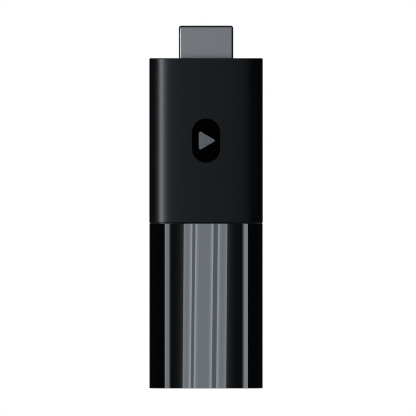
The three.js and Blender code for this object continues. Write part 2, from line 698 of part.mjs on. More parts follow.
// The stepped lens that carries the indicator's light through the end face.
function lightPipe() {
  const { radius, flange } = LAMP;
  const step = [CAP.floor + SEAT, CAP.floor + 0.55];
  const top = BOARD.bottom - 0.15;
  const lower = [[0, SEAT], [radius, SEAT], [radius, step[0]], [flange, step[0]]];
  const upper = [[flange, step[1]], [radius, step[1]], [radius, top], [0, top]];
  const profile = [...lower, ...upper].map(([r, z]) => new THREE.Vector2(r, z));
  const lathe = new THREE.LatheGeometry(profile, 20);
  return solid(lathe.rotateX(Math.PI / 2)).translate([LAMP.x, LAMP.y, 0]);
}

function smallParts() {
  place("board_screw_left", boardScrew(-1), MATERIAL.tinned);
  place("board_screw_right", boardScrew(1), MATERIAL.tinned);
  onBoard("status_lamp", -1, [LAMP.x, BOARD.bottom + 0.5], [1.6, 0.8, 0.7], MATERIAL.led, 0.05);
  place("light_pipe", lightPipe(), MATERIAL.lens);

  // A foam strip under the board's lower edge.
  const cushion = box([0.5, 9.5], around(0, 3.2), [CAP.floor + SEAT, BOARD.bottom - SEAT]);
  place("board_cushion", cushion, MATERIAL.foam);
}

// ---------------------------------------------------------------- build

place("gloss_cap", polishedCap(), MATERIAL.glossBlack);
place("front_cover", frontCover(), MATERIAL.mattBlack);
place("rear_cover", rearCover(), MATERIAL.mattBlack);
frontMark();
videoPlug();
mainBoard();
electronics();
antenna("wifi_antenna", 1, [-10.4, 1.6], [4.2, 7.4]);
antenna("bluetooth_antenna", -1, [0.4, 9.6], [4.2, 7.0]);
powerSocket();
smallParts();

export default stick;
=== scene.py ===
"""Looks of the streaming media stick: smooth casing shells, plug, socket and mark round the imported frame.

The outside of the casing is rebuilt here as smooth, rounded shells. Their clips, posts, spigot and guides
are taken from the frame's own solids. Everything is in metres in the frame's axes: +Z up, front towards -Y.
"""

import itertools
import json
import math

import bmesh
import bpy
import numpy as np
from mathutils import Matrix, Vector


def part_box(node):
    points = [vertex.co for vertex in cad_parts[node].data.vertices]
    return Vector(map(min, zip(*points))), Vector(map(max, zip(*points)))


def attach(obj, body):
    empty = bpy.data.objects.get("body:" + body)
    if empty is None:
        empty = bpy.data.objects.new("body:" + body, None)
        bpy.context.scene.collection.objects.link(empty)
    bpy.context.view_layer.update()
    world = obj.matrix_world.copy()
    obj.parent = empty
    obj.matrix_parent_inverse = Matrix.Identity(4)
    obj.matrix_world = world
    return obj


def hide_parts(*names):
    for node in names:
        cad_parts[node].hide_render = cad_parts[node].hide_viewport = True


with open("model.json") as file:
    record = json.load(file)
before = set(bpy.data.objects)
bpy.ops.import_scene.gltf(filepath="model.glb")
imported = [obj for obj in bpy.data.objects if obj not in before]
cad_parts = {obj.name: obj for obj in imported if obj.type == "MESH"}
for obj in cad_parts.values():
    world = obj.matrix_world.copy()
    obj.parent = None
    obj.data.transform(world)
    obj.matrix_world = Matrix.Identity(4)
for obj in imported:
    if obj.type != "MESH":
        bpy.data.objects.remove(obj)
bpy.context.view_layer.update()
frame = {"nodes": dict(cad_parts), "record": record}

# ---------------------------------------------------------------- places and sizes from the frame

MM = 0.001
FAR = 0.1  # further out than any part of the stick
WELD = 0.0002 * MM  # vertices closer than this are one
NODES = frame["nodes"]
CAP_LOW, CAP_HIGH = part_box("gloss_cap")
COVER_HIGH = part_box("front_cover")[1]
PLUG_LOW, PLUG_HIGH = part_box("video_plug_shell")
SOCKET_LOW, SOCKET_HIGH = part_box("power_socket_shell")
INSULATOR_LOW, INSULATOR_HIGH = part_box("power_socket_insulator")
LENS_LOW, LENS_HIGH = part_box("light_pipe")
LENS_PLACE = ((LENS_LOW.x + LENS_HIGH.x) / 2, (LENS_LOW.y + LENS_HIGH.y) / 2)
MARK_LOW, MARK_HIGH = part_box("mark_plate")
TRIANGLE_LOW, TRIANGLE_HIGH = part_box("mark_triangle")

HALF_WIDTH, HALF_DEPTH = CAP_HIGH.x, CAP_HIGH.y
SEAM_Z = CAP_HIGH.z
BODY_TOP = COVER_HIGH.z
SEAM = 0.15 * MM  # open line between the cap and the covers
SPLIT = 0.05 * MM  # half the open line between the two covers
END_EDGE = 0.3 * MM  # rounding of the covers' end face
FOOT_EDGE = 0.2 * MM  # rounding of the cap's end face
RIM_EDGE = 0.1 * MM  # rounding of the cap's edge at the seam
COVER_RIM_EDGE = 0.22 * MM  # rounding of the covers' edge at the seam
SKIN = 0.55 * MM  # thickness of the smooth outer skin; the frame's solids fill the wall behind it
OVERLAP = 0.1 * MM  # how far those solids run into the skin

# ---------------------------------------------------------------- the casing's outline

QUARTER = 48  # outline points in each quarter
ROLL = (math.radians(3), math.radians(17))  # turning angles over which a crown rolls into a side


def section():
    """The casing's outline as rows of x, y and outward normal, counter-clockwise from +X.

    The radius of curvature is one value on the crowns and another on the sides, with a smooth change between
    them. The two values are solved so that the outline just fills the casing's width and depth.
    """
    turn = np.linspace(0, math.pi / 2, 4001)
    roll = np.clip((turn - ROLL[0]) / (ROLL[1] - ROLL[0]), 0, 1)
    side = roll * roll * (3 - 2 * roll)
    shares = np.array([1 - side, side])
    spans = np.array([np.trapz(shares * f(turn), turn) for f in (np.cos, np.sin)])
    radius = np.linalg.solve(spans, [HALF_WIDTH, HALF_DEPTH]) @ shares
    step = turn[1]

    def run(values):
        return np.concatenate([[0], np.cumsum((values[1:] + values[:-1]) / 2 * step)])

    x, y, length = run(radius * np.cos(turn)), HALF_DEPTH - run(radius * np.sin(turn)), run(radius)
    spread = length / length[-1] + turn / turn[-1]
    chosen = np.interp(np.linspace(0, spread[-1], QUARTER + 1), spread, turn)
    rows = [np.interp(chosen, turn, v) for v in (x, y, np.sin(turn), np.cos(turn))]
    side_to_crown = np.column_stack(rows)[::-1]
    half = np.vstack([side_to_crown, side_to_crown[::-1][1:] * [-1, 1, -1, 1]])
    return np.vstack([half[:-1], -half[:-1]])


OUTLINE = section()


def ring(inset, z):
    """The outline moved in by inset, at height z."""
    return [(x, y, z) for x, y in OUTLINE[:, :2] - inset * OUTLINE[:, 2:]]


def side_x(y):
    """How far out the right side is at y."""
    right = OUTLINE[OUTLINE[:, 0] > HALF_WIDTH / 2]
    right = right[np.argsort(right[:, 1])]
    return float(np.interp(y, right[:, 1], right[:, 0]))


def front_y(x):
    """Where the front is at x."""
    front = OUTLINE[OUTLINE[:, 1] < -HALF_DEPTH / 2]
    front = front[np.argsort(front[:, 0])]
    return float(np.interp(x, front[:, 0], front[:, 1]))


# ---------------------------------------------------------------- solids


def mesh_object(name, vertices, faces):
    """A new object in the scene, with its faces turned outwards."""
    mesh = bpy.data.meshes.new(name)
    mesh.from_pydata([tuple(v) for v in vertices], [], faces)
    work = bmesh.new()
    work.from_mesh(mesh)
    bmesh.ops.recalc_face_normals(work, faces=work.faces)
    work.to_mesh(mesh)
    work.free()
    piece = bpy.data.objects.new(name, mesh)
    bpy.context.scene.collection.objects.link(piece)
    return piece


def loft(name, rings, looped=False):
    """A closed solid through rings of equal count: capped at both ends, or looped back to its first ring."""
    count, last = len(rings[0]), len(rings) - 1
    pairs = [(i, i + 1) for i in range(last)] + ([(last, 0)] if looped else [])
    faces = [
        (low * count + i, low * count + (i + 1) % count, high * count + (i + 1) % count, high * count + i)
        for low, high in pairs
        for i in range(count)
    ]
    if not looped:
        faces += [tuple(range(count)), tuple(range(last * count, (last + 1) * count))]
    return mesh_object(name, [point for each in rings for point in each], faces)


def box(name, low, high):
    """A block between two opposite corners."""
    (x0, y0, z0), (x1, y1, z1) = low, high
    corners = [(x0, y0), (x1, y0), (x1, y1), (x0, y1)]
    return loft(name, [[(x, y, z) for x, y in corners] for z in (z0, z1)])


def prism(name, inset, low, high):
    """The casing's outline, moved in by inset, as a straight block between two heights."""
    return loft(name, [ring(inset, low), ring(inset, high)])


def rounded_end(z, radius, way, steps=5):
    """Pairs of inset and height that round the wall over into the end face at z. way is 1 up and -1 down."""
    angles = [math.pi / 2 * i / steps for i in range(steps + 1)]
    return [(radius * (1 - math.cos(a)), z - way * radius * (1 - math.sin(a))) for a in angles]


def block(name, low, low_edge, high, high_edge):
    """The casing's outline as a solid block with both end edges rounded."""
    profile = rounded_end(low, low_edge, -1)[::-1] + rounded_end(high, high_edge, 1)
    return loft(name, [ring(inset, z) for inset, z in profile])


def combine(piece, operation, *tools):
    """Joins or cuts piece with tools, which are used up."""
    for tool in tools:
        modifier = piece.modifiers.new(operation, "BOOLEAN")
        modifier.operation = operation
        modifier.solver = "MANIFOLD"
        modifier.object = tool
    evaluated = piece.evaluated_get(bpy.context.evaluated_depsgraph_get())
    mesh = bpy.data.meshes.new_from_object(evaluated)
    piece.modifiers.clear()
    piece.data = mesh
    for tool in tools:
        bpy.data.objects.remove(tool)
    return piece


def solid_of(node):
    """A welded copy of a frame node's mesh, to be joined or cut."""
    work = bmesh.new()
    work.from_mesh(NODES[node].data)
    bmesh.ops.remove_doubles(work, verts=work.verts, dist=WELD)
    mesh = bpy.data.meshes.new(node + "_copy")
    work.to_mesh(mesh)
    work.free()
    piece = bpy.data.objects.new(node + "_copy", mesh)
    bpy.context.scene.collection.objects.link(piece)
    return piece


def rounded(corners, radius, steps=6):
    """A polygon with round corners. Corners are (u, v) pairs, counter-clockwise."""
    points = []
    for i, corner in enumerate(corners):
        here = Vector(corner)
        back = (Vector(corners[i - 1]) - here).normalized()
        ahead = (Vector(corners[(i + 1) % len(corners)]) - here).normalized()
        half = back.angle(ahead) / 2
        centre = here + (back + ahead).normalized() * radius / math.sin(half)
        start = here + back * radius / math.tan(half) - centre
        turn = start.angle_signed(here + ahead * radius / math.tan(half) - centre)
        for k in range(steps + 1):
            # mathutils turns clockwise for positive signed angles
            a = -turn * k / steps
            u = start.x * math.cos(a) - start.y * math.sin(a)
            v = start.x * math.sin(a) + start.y * math.cos(a)
            points.append((centre.x + u, centre.y + v))
    return points


def moved_in(corners, inset):
    """A polygon with every side moved in by inset. Corners are counter-clockwise."""
    moved = []
    for i, corner in enumerate(corners):
        here = Vector(corner)
        back = (here - Vector(corners[i - 1])).normalized()
        ahead = (Vector(corners[(i + 1) % len(corners)]) - here).normalized()
        normals = [Vector((-d.y, d.x)) for d in (back, ahead)]
        bisector = (normals[0] + normals[1]).normalized()
        moved.append(tuple(here + bisector * inset / bisector.dot(normals[0])))
    return moved


def rectangle(u, v, width, height):
    """The corners of a rectangle round (u, v), counter-clockwise."""
    return [
        (u - width / 2, v - height / 2),
        (u + width / 2, v - height / 2),
        (u + width / 2, v + height / 2),
        (u - width / 2, v + height / 2),
    ]


# ---------------------------------------------------------------- shading normals

SKIN_MARGIN = 0.02 * MM  # points this little below the rounded edges still count as skin
SKIN_FACING = 0.85  # a face this square to the skin's true normal takes it
NEAREST_BATCH = 2000  # points looked up at a time, to save memory


def evenly_shaded(piece, degrees):
    """Smooth shading with flats left flat, and edges sharper than this many degrees left sharp."""
    piece.data.shade_smooth()
    piece.data.set_sharp_from_angle(angle=math.radians(degrees))
    piece.modifiers.new("even_shading", "WEIGHTED_NORMAL").keep_sharp = True


def smooth_skin(piece, low, low_edge, high, high_edge):
    """Gives the outer skin its true normals, so that cuts and joins leave no mark on the reflections."""
    mesh = piece.data
    mesh.shade_smooth()
    mesh.set_sharp_from_angle(angle=math.radians(25))
    points = np.array([v.co for v in mesh.vertices])
    closed = np.vstack([OUTLINE, OUTLINE[:1]])
    fine = np.vstack([closed[:-1] + (closed[1:] - closed[:-1]) * k / 8 for k in range(8)])
    fine[:, 2:] /= np.linalg.norm(fine[:, 2:], axis=1)[:, None]
    true, depth = np.zeros_like(points), np.full(len(points), 1.0)
    for start in range(0, len(points), NEAREST_BATCH):
        part = slice(start, start + NEAREST_BATCH)
        gaps = points[part, None, :2] - fine[None, :, :2]
        nearest = np.argmin((gaps**2).sum(2), axis=1)
        flat = fine[nearest, 2:]
        inset = -(gaps[np.arange(len(nearest)), nearest] * flat).sum(1)
        z = points[part, 2]
        over_top = np.clip(z - (high - high_edge), 0, None)
        over_low = np.clip((low + low_edge) - z, 0, None)
        edge = np.where(over_top > 0, high_edge, np.where(over_low > 0, low_edge, inset + 1))
        true[part, :2] = flat * np.clip(edge - inset, 0, None)[:, None]
        true[part, 2] = over_top - over_low
        depth[part] = inset
    true /= np.maximum(np.linalg.norm(true, axis=1), 1e-12)[:, None]
    on_skin = depth < max(low_edge, high_edge) + SKIN_MARGIN
    normals = [Vector(n.vector) for n in mesh.corner_normals]
    for face in mesh.polygons:
        for corner in face.loop_indices:
            vertex = mesh.loops[corner].vertex_index
            wanted = Vector(true[vertex])
            if on_skin[vertex] and face.normal.dot(wanted) > SKIN_FACING:
                normals[corner] = wanted
    mesh.normals_split_custom_set([tuple(n) for n in normals])


# ---------------------------------------------------------------- casing

PLUG_WIDE = PLUG_HIGH.x
PLUG_TALL = PLUG_HIGH.y
PLUG_NARROW = 5.45 * MM  # half the rear face
PLUG_SHOULDER = 0.45 * MM  # where the slanted corners start
PLUG_CORNER = 0.55 * MM


def plug_outline(inset):
    """The plug's outline in XY, moved in by inset: wide at the front, with two slanted corners behind."""
    corners = [
        (-PLUG_WIDE, -PLUG_TALL),
        (PLUG_WIDE, -PLUG_TALL),
        (PLUG_WIDE, PLUG_SHOULDER),
        (PLUG_NARROW, PLUG_TALL),
        (-PLUG_NARROW, PLUG_TALL),
        (-PLUG_WIDE, PLUG_SHOULDER),
    ]
    return rounded(moved_in(corners, inset), max(PLUG_CORNER - inset, 0.12 * MM))


def plug_ring(inset, z):
    """The plug's outline moved in by inset, at height z."""
    return [(x, y, z) for x, y in plug_outline(inset)]


def throat(gap=0.15 * MM, chamfer=0.15 * MM):
    """The hole in the top end face that the plug stands in."""
    profile = [(gap, -3 * MM), (gap, -chamfer), (gap + chamfer, 0.0), (gap + chamfer, 1 * MM)]
    return loft("throat", [plug_ring(-grow, BODY_TOP + z) for grow, z in profile])


def groove_bars(half=0.13 * MM):
    """Thin square bars, set on edge, that cut a small V along the line where the two covers meet."""
    bars = []
    for x in (-HALF_WIDTH, HALF_WIDTH):
        corners = [(x - half, 0), (x, -half), (x + half, 0), (x, half)]
        bars.append(loft("groove", [[(u, v, z) for u, v in corners] for z in (SEAM_Z, BODY_TOP + MM)]))
    corners = [(-half, BODY_TOP), (0, BODY_TOP - half), (half, BODY_TOP), (0, BODY_TOP + half)]
    ends = (-HALF_WIDTH - MM, HALF_WIDTH + MM)
    bars.append(loft("groove", [[(x, y, z) for y, z in corners] for x in ends]))
    return bars


def seam_floor(near_y, far_y, outer=0.1 * MM, inner=1.2 * MM, clearance=0.001 * MM):
    """The shallow step that closes the seam, so that no light shows through it from the side."""
    low, high = SEAM_Z + clearance, SEAM_Z + SEAM + 0.3 * MM
    step = prism("step", outer, low, high)
    combine(step, "DIFFERENCE", prism("inner", inner, low - MM, high + MM))
    return combine(step, "INTERSECT", box("half", (-FAR, near_y, low - MM), (FAR, far_y, high + MM)))


def cover(name, node, side, neck_inset=1.35 * MM, neck_length=8 * MM):
    """One matt cover: side is -1 for the front and 1 for the rear. The neck goes down inside the cap."""
    bottom, cavity_top = SEAM_Z + SEAM, BODY_TOP - SKIN
    shell = block(name, bottom, COVER_RIM_EDGE, BODY_TOP, END_EDGE)
    combine(shell, "DIFFERENCE", prism("cavity", SKIN, SEAM_Z, cavity_top), *groove_bars())
    near_y, far_y = sorted((side * SPLIT, side * FAR))
    combine(shell, "INTERSECT", box("half", (-FAR, near_y, -FAR), (FAR, far_y, FAR)))
    core = prism("core", SKIN - OVERLAP, bottom + 0.05 * MM, cavity_top + OVERLAP)
    neck = prism("neck", neck_inset, SEAM_Z - neck_length, bottom + 0.2 * MM)
    combine(core, "UNION", neck)
    inside = combine(solid_of(node), "INTERSECT", core)
    combine(shell, "UNION", inside, seam_floor(near_y, far_y))
    combine(shell, "DIFFERENCE", throat())
    if side < 0:
        combine(shell, "DIFFERENCE", mark_recess())
    smooth_skin(shell, bottom, COVER_RIM_EDGE, BODY_TOP, END_EDGE)
    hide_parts(node)
    return shell


def socket_mouth(width=3.1 * MM, height=8.4 * MM, corner=1.0 * MM, lip=0.3 * MM):
    """The cutter for the opening round the power socket: straight, with a rounded lip at the surface."""
    middle_y = (INSULATOR_LOW.y + INSULATOR_HIGH.y) / 2
    middle_z = (SOCKET_LOW.z + SOCKET_HIGH.z) / 2

    def outline(grow):
        corners = rectangle(middle_y, middle_z, width + 2 * grow, height + 2 * grow)
        return rounded(corners, corner + grow, 8)

    rings = [[(SOCKET_HIGH.x - 2 * MM, y, z) for y, z in outline(0)]]
    for degrees in (0, 15, 30, 45, 60, 72):
        a = math.radians(degrees)
        grow, sunk = lip * (1 - math.cos(a)), lip * (1 - math.sin(a))
        rings.append([(side_x(y) - sunk, y, z) for y, z in outline(grow)])
    rings.append([(HALF_WIDTH + 2 * MM, y, z) for y, z in outline(grow)])
    return loft("mouth", rings)


def turned(name, x, y, profile, steps):
    """A round solid on an upright axis at x and y. Its profile is pairs of radius and height."""
    angles = [2 * math.pi * i / steps for i in range(steps)]
    return loft(name, [[(x + r * math.cos(a), y + r * math.sin(a), z) for a in angles] for r, z in profile])


def lens_hole(radius=0.87 * MM, chamfer=0.18 * MM):
    """The cutter for the indicator's hole, with a chamfered mouth."""
    mouth = radius + chamfer
    profile = [(mouth, -MM), (mouth, 0.0), (radius, chamfer), (radius, 2.5 * MM)]
    return turned("lens_hole", *LENS_PLACE, profile, 64)


def polished_cap():
    """The polished cap: a smooth skin over the frame's walls, with its two openings."""
    shell = block("gloss_cap_shell", 0.0, FOOT_EDGE, SEAM_Z, RIM_EDGE)
    combine(shell, "DIFFERENCE", prism("cavity", SKIN, SKIN, SEAM_Z + MM))
    core = prism("core", SKIN - OVERLAP, SKIN - OVERLAP, SEAM_Z - 0.05 * MM)
    inside = combine(solid_of("gloss_cap"), "INTERSECT", core)
    combine(shell, "UNION", inside)
    combine(shell, "DIFFERENCE", socket_mouth(), lens_hole())
    smooth_skin(shell, 0.0, FOOT_EDGE, SEAM_Z, RIM_EDGE)
    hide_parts("gloss_cap")
    return shell


# ---------------------------------------------------------------- front mark

MARK_Z = (MARK_LOW.z + MARK_HIGH.z) / 2
MARK_RADIUS = MARK_HIGH.x
MARK_RISE = (MARK_HIGH.z - MARK_LOW.z) / 2 - MARK_RADIUS
MARK_DEPTH = 0.65 * MM  # from the crown to the plate's back
INLAY_DEPTH = 0.35 * MM  # from the crown to the triangle's back


def pill(inset, steps=24):
    """The mark's outline in XZ."""
    points = []
    for first, centre in ((0.0, MARK_Z + MARK_RISE), (math.pi, MARK_Z - MARK_RISE)):
        for k in range(steps + 1):
            a = first + math.pi * k / steps
            radius = MARK_RADIUS - inset
            points.append((radius * math.cos(a), centre + radius * math.sin(a)))
    return points


def arrow(inset):
    """The play triangle's outline in XZ, pointing to +X."""
    low_x, high_x, round_by = TRIANGLE_LOW.x, TRIANGLE_HIGH.x, 0.4 * MM
    sharp = (high_x - low_x + round_by) / 1.5  # from the middle to each corner before rounding
    middle = low_x + sharp / 2
    angles = [0, 2 * math.pi / 3, 4 * math.pi / 3]
    corners = [(middle + sharp * math.cos(a), MARK_Z + sharp * math.sin(a)) for a in angles]
    return rounded(moved_in(corners, inset), max(round_by - inset, 0.05 * MM))


def front_prism(name, outline, depth):
    """A prism along Y over an outline in XZ, from outside the front down to depth below the crown."""
    spans = (-HALF_DEPTH - MM, -HALF_DEPTH + depth)
    return loft(name, [[(x, y, z) for x, z in outline] for y in spans])


def mark_recess(gap=0.04 * MM, clearance=0.05 * MM):
    """The cutter for the plate's seat in the front cover."""
    return front_prism("recess", pill(-gap), MARK_DEPTH + clearance)


def inlay(name, outline, depth, reach, sunk, edge=0.08 * MM, steps=12):
    """A plate whose face follows the crown, sunk just below it.

    outline(inset) gives the plate's shape in XZ, and reach is its half width.
    """
    rings = [[(x, -HALF_DEPTH + depth, z) for x, z in outline(0.0)]]
    turns = (0.0, 0.5, 1.0, math.pi / 2)
    profile = [(edge * (1 - math.cos(a)), edge * (1 - math.sin(a))) for a in turns]
    profile += [(edge + (reach - edge) * k / steps, 0.0) for k in range(1, steps)]
    for inset, down in profile:
        rings.append([(x, front_y(x) + down + sunk, z) for x, z in outline(inset)])
    return loft(name, rings)


def front_mark():
    """The generic mark: a pill-shaped plate with a play triangle let into it."""
    plate = inlay("mark_plate_face", pill, MARK_DEPTH, MARK_RADIUS, 0.03 * MM)
    combine(plate, "DIFFERENCE", front_prism("pocket", arrow(-0.03 * MM), INLAY_DEPTH + 0.05 * MM))
    reach = (TRIANGLE_HIGH.z - TRIANGLE_LOW.z) / 4
    triangle = inlay("mark_triangle_face", arrow, INLAY_DEPTH, reach, 0.02 * MM)
    for piece, node in ((plate, "mark_plate"), (triangle, "mark_triangle")):
        evenly_shaded(piece, 35)
        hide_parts(node)
    return plate, triangle


# ---------------------------------------------------------------- video plug


def plug_shell():
    """The drawn steel shell: a rounded lead-in at the tip, latch windows, a folded seam behind, two ears."""
    tip, sheet, lead = PLUG_HIGH.z, 0.35 * MM, 0.7 * MM
    ear_top = BODY_TOP - 5.8 * MM  # where the shell ends and its two ears go on down
    profile = [(0.0, ear_top)]
    for degrees in (0, 15, 30, 45, 60, 75, 90):
        a = math.radians(degrees)
        profile.append((lead * (1 - math.cos(a)), tip - lead * (1 - math.sin(a))))
    lip = [(0.76, 0.03), (0.74, 0.15), (0.6, 0.28), (0.4, 0.45), (0.35, 0.8)]
    profile += [(inset * MM, tip - down * MM) for inset, down in lip]
    profile.append((sheet, ear_top))
    shell = loft("plug_shell", [plug_ring(inset, z) for inset, z in profile], looped=True)
    windows_z, windows_x, size = BODY_TOP + 4.2 * MM, 3.1 * MM, (1.9 * MM, 1.4 * MM)
    cuts, ears = [], []
    for side in (-1, 1):
        outline = rounded(rectangle(side * windows_x, windows_z, *size), 0.2 * MM)
        spans = (PLUG_TALL / 2, PLUG_TALL + MM)
        cuts.append(loft("window", [[(x, y, z) for x, z in outline] for y in spans]))
        near, far = sorted((side * (PLUG_WIDE - sheet), side * PLUG_WIDE))
        low, high = (near, -1.5 * MM, PLUG_LOW.z), (far, 0.35 * MM, ear_top + 0.3 * MM)
        ears.append(box("ear", low, high))
    combine(shell, "DIFFERENCE", *cuts, seam_cutter())
    combine(shell, "UNION", *ears)
    evenly_shaded(shell, 30)
    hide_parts("video_plug_shell")
    return shell


def seam_cutter(width=0.07 * MM, depth=0.12 * MM):
    """The fine folded seam up the plug's rear face, with one dovetail in it."""
    tail_low, tail_high = BODY_TOP + 1.6 * MM, BODY_TOP + 3.4 * MM
    centre = [
        (0.0, BODY_TOP - 3 * MM),
        (0.0, tail_low),
        (-0.9 * MM, tail_low - 0.25 * MM),
        (-0.9 * MM, tail_high + 0.25 * MM),
        (0.0, tail_high),
        (0.0, PLUG_HIGH.z + MM),
    ]
    left = [(x - width / 2, z) for x, z in centre]
    right = [(x + width / 2, z) for x, z in centre[::-1]]
    spans = (PLUG_TALL - depth, PLUG_TALL + MM)
    return loft("seam", [[(x, y, z) for x, z in left + right] for y in spans])


# ---------------------------------------------------------------- power socket and lens


def socket_shell():
    """The drawn shell of the power socket, with a flared rim and two solder feet."""
    middle_y, middle_z = (SOCKET_LOW.y + SOCKET_HIGH.y) / 2, (SOCKET_LOW.z + SOCKET_HIGH.z) / 2
    half_y, half_z, bevel = (SOCKET_HIGH.y - SOCKET_LOW.y) / 2, 3.75 * MM, 0.9 * MM
    sheet, front, back = 0.25 * MM, SOCKET_HIGH.x, SOCKET_LOW.x
    corners = [
        (-half_y, -half_z),
        (half_y - bevel, -half_z),
        (half_y, bevel - half_z),
        (half_y, half_z - bevel),
        (half_y - bevel, half_z),
        (-half_y, half_z),
    ]
    placed = [(middle_y + y, middle_z + z) for y, z in corners]

    def at(inset, x):
        return [(x, y, z) for y, z in rounded(moved_in(placed, inset), max(0.35 * MM - inset, 0.12 * MM))]

    flare = [(-0.05, 0.25), (-0.2, 0.05), (-0.2, 0.0), (-0.1, 0.0), (0.1, 0.2)]
    profile = [(0, back), (0, front - 0.5 * MM)]
    profile += [(inset * MM, front - behind * MM) for inset, behind in flare]
    profile += [(sheet, front - 0.5 * MM), (sheet, back)]
    shell = loft("socket_shell", [at(inset, x) for inset, x in profile], looped=True)
    feet = []
    for side in (-1, 1):
        near, far = sorted((side * (half_z - 0.3 * MM), side * (SOCKET_HIGH.z - middle_z)))
        low = (back + 1.0 * MM, SOCKET_LOW.y, middle_z + near)
        high = (back + 2.6 * MM, SOCKET_LOW.y + sheet, middle_z + far)
        feet.append(box("foot", low, high))
    combine(shell, "UNION", *feet)
    evenly_shaded(shell, 30)
    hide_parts("power_socket_shell")
    return shell


def lens():
    """The indicator's light pipe: a flanged rod with a shallow dome at its outer end."""
    radius, flange, low, high = 0.75 * MM, 1.3 * MM, LENS_LOW.z, LENS_HIGH.z
    step = CAP_LOW.z + 1.55 * MM
    profile = [(0.25 * radius, low), (0.6 * radius, low + 0.03 * MM), (0.88 * radius, low + 0.1 * MM)]
    profile += [(radius, low + 0.22 * MM), (radius, step - 0.05 * MM), (radius + 0.05 * MM, step)]
    profile += [(flange - 0.05 * MM, step), (flange, step + 0.05 * MM), (flange, step + 0.45 * MM)]
    profile += [(flange - 0.05 * MM, step + 0.5 * MM), (radius, step + 0.5 * MM), (radius, high)]
    rod = turned("lens", *LENS_PLACE, profile, 48)
    evenly_shaded(rod, 40)
    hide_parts("light_pipe")
    return rod


def cushion():
    """The foam block under the board's lower edge, with slightly bulging sides."""
    low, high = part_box("board_cushion")
    middle, half = (low + high) / 2, (high - low) / 2
    steps, bulge = 8, 0.12 * MM
    rings = []
    for k in range(steps + 1):
        share = 2 * k / steps - 1
        inset = bulge * share * share
        corners = rectangle(middle.x, middle.z, 2 * (half.x - inset), 2 * (half.z - inset))
        rings.append([(x, middle.y + share * half.y, z) for x, z in rounded(corners, 0.5 * MM)])
    foam = loft("foam_cushion", rings)
    evenly_shaded(foam, 40)
    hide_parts("board_cushion")
    return foam


# ---------------------------------------------------------------- finishes


class Finish:
    """A procedural material, built step by step on its Principled shader."""

    def __init__(self, name, colour, roughness, metallic=0.0, ior=1.5):
        self.material = bpy.data.materials.new(name)
        self.material.use_nodes = True
        self.nodes, self.links = self.material.node_tree.nodes, self.material.node_tree.links
        self.shader = self.nodes["Principled BSDF"]
        self.place = self.nodes.new("ShaderNodeTexCoord").outputs["Object"]
        self.colour = colour
        self.set("Base Color", (*colour, 1.0))
        self.set("Roughness", roughness)
        self.set("Metallic", metallic)
        self.set("IOR", ior)

    def set(self, socket, value):
        """Sets one of the shader's own sockets."""
        self.shader.inputs[socket].default_value = value
        return self

    def noise(self, size, detail=3.0, stretch=(1.0, 1.0, 1.0)):
        """Noise with features of about this size in mm, drawn out along an axis where stretch is above 1."""
        mapping = self.nodes.new("ShaderNodeMapping")
        mapping.inputs["Scale"].default_value = [1 / (size * MM * s) for s in stretch]
        noise = self.nodes.new("ShaderNodeTexNoise")
        noise.inputs["Scale"].default_value = 1.0
        noise.inputs["Detail"].default_value = detail
        self.links.new(self.place, mapping.inputs["Vector"])
        self.links.new(mapping.outputs["Vector"], noise.inputs["Vector"])
        return noise.outputs["Fac"]

    def cells(self, size):
        """A foam of rounded cells of about this size in mm."""
        voronoi = self.nodes.new("ShaderNodeTexVoronoi")
        voronoi.inputs["Scale"].default_value = 1 / (size * MM)
        self.links.new(self.place, voronoi.inputs["Vector"])
        return voronoi.outputs["Distance"]

    def ranged(self, value, low, high, span=(0.3, 0.7)):
        """Stretches a value from span to low and high, and clamps it there."""
        node = self.nodes.new("ShaderNodeMapRange")
        for socket, number in zip(("From Min", "From Max", "To Min", "To Max"), (*span, low, high)):
            node.inputs[socket].default_value = number
        self.links.new(value, node.inputs["Value"])
        return node.outputs["Result"]

    def mixed(self, share, first, second):
        """A colour between two others. A Mix node's colour sockets come after its number and vector ones."""
        node = self.nodes.new("ShaderNodeMix")
        node.data_type = "RGBA"
        self.links.new(share, node.inputs["Factor"])
        colour_a, colour_b, result = node.inputs[6], node.inputs[7], node.outputs[2]
        colour_a.default_value = (*first, 1.0)
        colour_b.default_value = (*second, 1.0)
        return result

    def toned(self, size, amount, **how):
        """Lets the colour wander a little lighter and darker."""
        share = self.ranged(self.noise(size, **how), 0, 1)
        dark, light = ([c * k for c in self.colour] for k in (1 - amount, 1 + amount))
        self.links.new(self.mixed(share, dark, light), self.shader.inputs["Base Color"])
        return self

    def patched(self, share, colour):
        """Mixes in a second colour where share is 1."""
        self.links.new(self.mixed(share, self.colour, colour), self.shader.inputs["Base Color"])
        return self

    def worn(self, size, low, high, **how):
        """Lets the roughness wander between low and high."""
        self.links.new(self.ranged(self.noise(size, **how), low, high), self.shader.inputs["Roughness"])
        return self

    def bumped(self, height, depth):
        """Raises the surface by up to depth mm where height is 1."""
        bump = self.nodes.new("ShaderNodeBump")
        bump.inputs["Distance"].default_value = depth * MM
        self.links.new(height, bump.inputs["Height"])
        self.links.new(bump.outputs["Normal"], self.shader.inputs["Normal"])
        return self


LACQUER = 1.8  # refractive index of the casing's coating


def matt_black():
    """The covers' soft-touch finish, with a fine grain."""
    finish = Finish("matt_black", (0.0103, 0.0122, 0.016), 0.31, ior=LACQUER)
    finish.toned(6.0, 0.04).worn(2.0, 0.305, 0.315)
    return finish.bumped(finish.noise(0.16), 0.004)


def gloss_black():
    """The cap's polish: near black, with the slightest unevenness in its shine."""
    finish = Finish("gloss_black", (0.0012, 0.0013, 0.0015), 0.03, ior=LACQUER)
    return finish.toned(8.0, 0.1).worn(5.0, 0.028, 0.034)


